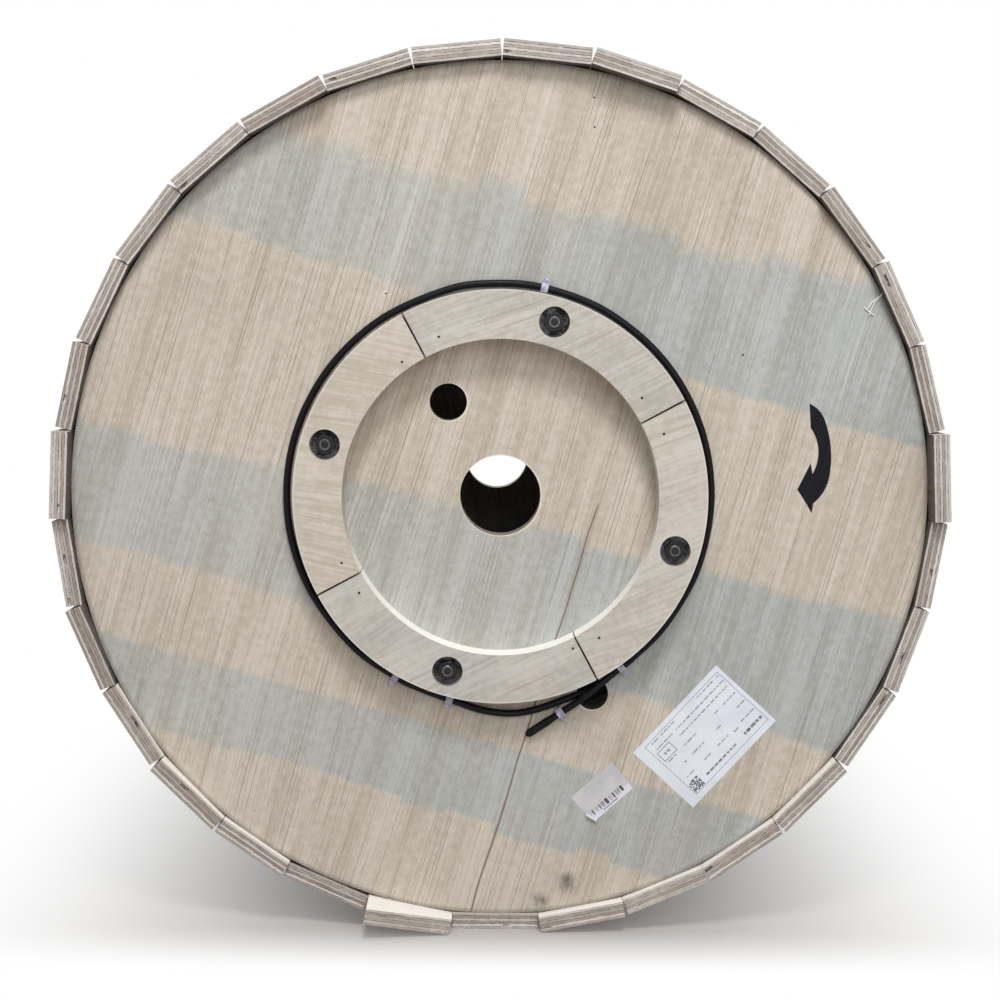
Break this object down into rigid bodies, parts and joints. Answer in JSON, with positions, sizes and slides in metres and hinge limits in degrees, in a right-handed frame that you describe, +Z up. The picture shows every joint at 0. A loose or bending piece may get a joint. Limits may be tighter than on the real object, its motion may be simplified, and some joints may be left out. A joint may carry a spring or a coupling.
{
  "type": "fiber optic cable reel",
  "caption": "Plywood cable drum closed in with nailed staves, full of black fiber optic cable whose inner end is clipped round the hub ring.",
  "frame": {"origin": "on the axis of the spindle bore, halfway between the flanges", "axes": "+Y along the spindle bore from the front flange to the back one, +Z up as the drum stands on its lowest stave, +X to the right seen from the front"},
  "size_m": [0.8854, 0.69, 0.8845],
  "materials": {
    "flange_ply": "sawn plywood veneer",
    "ring_wood": "sawn plywood veneer",
    "stave_ply": "rough sawn plywood",
    "barrel_ply": "rough sawn plywood",
    "cable_jacket": "satin",
    "cap_shrink": "satin",
    "clip_plastic": "satin",
    "rod_steel": "zinc plated",
    "washer_steel": "dull zinc plated",
    "nut_steel": "zinc plated",
    "nail_steel": "dull",
    "label_paper": "matte",
    "label_film": "satin",
    "stencil_paint": "matte"
  },
  "bodies": {
    "root": {"flange_front": "flange_ply", "flange_back": "flange_ply", "ring_front_1": "ring_wood", "ring_front_2": "ring_wood", "ring_front_3": "ring_wood", "ring_front_4": "ring_wood", "ring_back_1": "ring_wood", "ring_back_2": "ring_wood", "ring_back_3": "ring_wood", "ring_back_4": "ring_wood", "tie_rod_1": "rod_steel", "tie_rod_2": "rod_steel", "tie_rod_3": "rod_steel", "tie_rod_4": "rod_steel", "washers_front": "washer_steel", "washers_back": "washer_steel", "nuts_front": "nut_steel", "nuts_back": "nut_steel", "barrel_slats": "barrel_ply", "cable_winding": "cable_jacket", "cable_tail": "cable_jacket", "tail_cap": "cap_shrink", "cable_clip_1": "clip_plastic", "cable_clip_2": "clip_plastic", "cable_clip_3": "clip_plastic", "cable_clip_4": "clip_plastic", "cable_clip_5": "clip_plastic", "stave_01": "stave_ply", "stave_02": "stave_ply", "stave_03": "stave_ply", "stave_04": "stave_ply", "stave_05": "stave_ply", "stave_06": "stave_ply", "stave_07": "stave_ply", "stave_08": "stave_ply", "stave_09": "stave_ply", "stave_10": "stave_ply", "stave_11": "stave_ply", "stave_12": "stave_ply", "stave_13": "stave_ply", "stave_14": "stave_ply", "stave_15": "stave_ply", "stave_16": "stave_ply", "stave_17": "stave_ply", "stave_18": "stave_ply", "stave_19": "stave_ply", "stave_20": "stave_ply", "stave_21": "stave_ply", "stave_22": "stave_ply", "stave_23": "stave_ply", "stave_24": "stave_ply", "stave_25": "stave_ply", "stave_26": "stave_ply", "stave_27": "stave_ply", "stave_28": "stave_ply", "stave_29": "stave_ply", "stave_30": "stave_ply", "stave_31": "stave_ply"}
  },
  "joints": []
}
